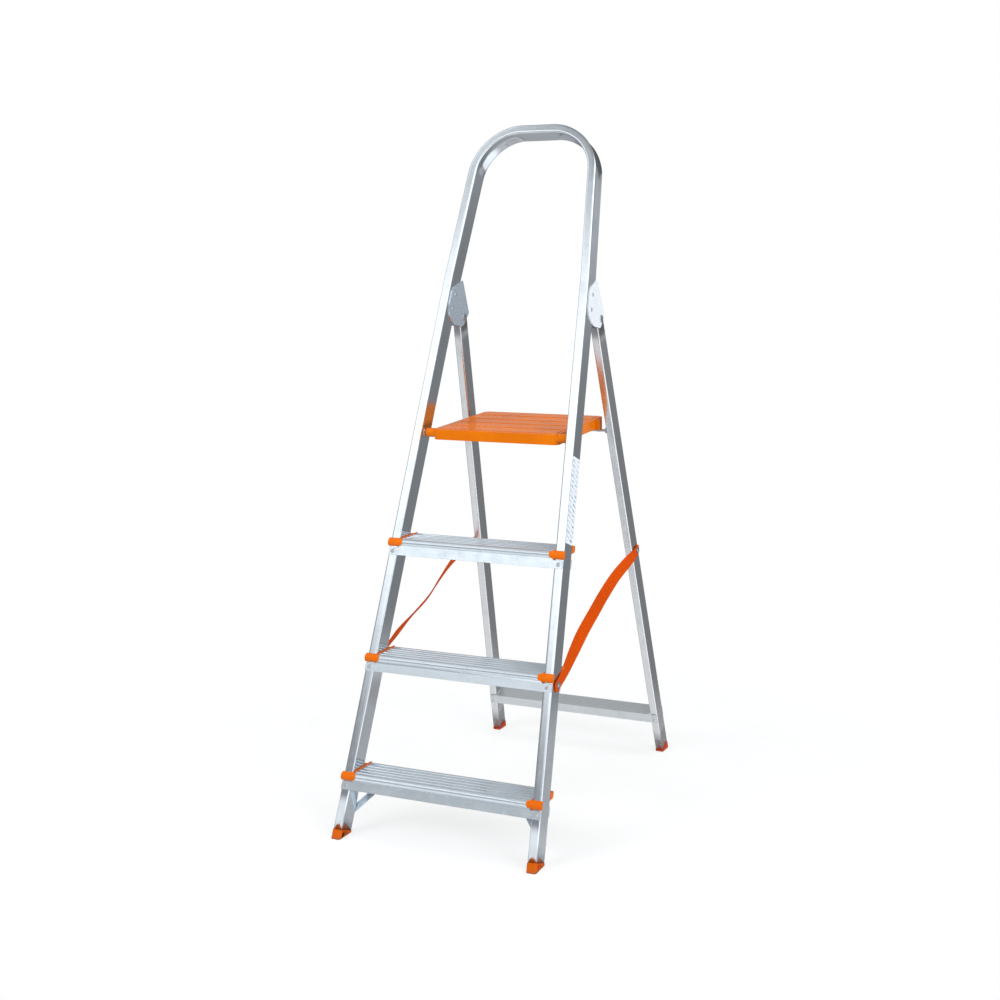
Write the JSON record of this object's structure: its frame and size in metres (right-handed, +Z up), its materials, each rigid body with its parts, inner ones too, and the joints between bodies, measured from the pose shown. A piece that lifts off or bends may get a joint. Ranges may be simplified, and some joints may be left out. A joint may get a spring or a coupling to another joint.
{
  "type": "platform step ladder",
  "caption": "Folding step ladder: bent tube front hoop with ribbed treads and a hand hoop, a folding standing platform, a hinged rear frame and webbing stay straps.",
  "frame": {"origin": "on the floor, under the middle of the open ladder's footprint", "axes": "+Z up, +X to the climber's right, +Y from the climbed side towards the rear legs"},
  "size_m": [0.477, 0.8454, 1.5145],
  "materials": {
    "aluminium_tube": "satin extruded, faintly drawn along its length",
    "aluminium_tread": "satin extruded, ribbed on top",
    "aluminium_plate": "rolled sheet, pressed and lightly brushed",
    "aluminium_rivet": "plain blind rivet",
    "zinc_steel": "zinc plated",
    "orange_plastic": "moulded, satin",
    "foot_plastic": "moulded, worn matt on the sole",
    "strap_webbing": "woven polyester webbing",
    "label_film": null
  },
  "bodies": {
    "front_frame": {"front_hoop": "aluminium_tube", "tread_1": "aluminium_tread", "tread_2": "aluminium_tread", "tread_3": "aluminium_tread", "tread_clip_1_left": "orange_plastic", "tread_clip_1_right": "orange_plastic", "tread_clip_2_left": "orange_plastic", "tread_clip_2_right": "orange_plastic", "tread_clip_3_left": "orange_plastic", "tread_clip_3_right": "orange_plastic", "tread_rivets": "aluminium_rivet", "brace_left": "aluminium_plate", "brace_right": "aluminium_plate", "brace_rivets": "aluminium_rivet", "front_foot_left": "foot_plastic", "front_foot_right": "foot_plastic", "hinge_plate_outer_left": "aluminium_plate", "hinge_plate_outer_right": "aluminium_plate", "hinge_plate_inner_left": "aluminium_plate", "hinge_plate_inner_right": "aluminium_plate", "hinge_plate_rivets": "aluminium_rivet", "hinge_pivot_pins": "zinc_steel", "platform_axle": "zinc_steel", "axle_washers": "zinc_steel", "strap_rivets_lower": "zinc_steel", "strap_left": "strap_webbing", "strap_right": "strap_webbing", "side_label": "label_film"},
    "rear_frame": {"rear_leg_left": "aluminium_tube", "rear_leg_right": "aluminium_tube", "rear_crossbar": "aluminium_tube", "crossbar_rivets": "aluminium_rivet", "rear_foot_left": "foot_plastic", "rear_foot_right": "foot_plastic", "rest_rod": "zinc_steel", "rest_rod_nuts": "zinc_steel", "strap_rivets_upper": "zinc_steel"},
    "platform": {"platform": "orange_plastic"}
  },
  "joints": [
    {"name": "rear_fold", "type": "hinge", "parent": "front_frame", "child": "rear_frame", "pos_m": [0, 0.08335, 1.08574], "axis": [-1, 0, 0], "range_deg": [0, 36], "deforming": ["strap_left", "strap_right"]},
    {"name": "platform_lift", "type": "hinge", "parent": "front_frame", "child": "platform", "pos_m": [0, -0.08241, 0.83717], "axis": [1, 0, 0], "range_deg": [0, 66.5]}
  ],
  "couplings": [
    {"joint": "platform_lift", "follows": "rear_fold", "ratio": 1.8444}
  ]
}
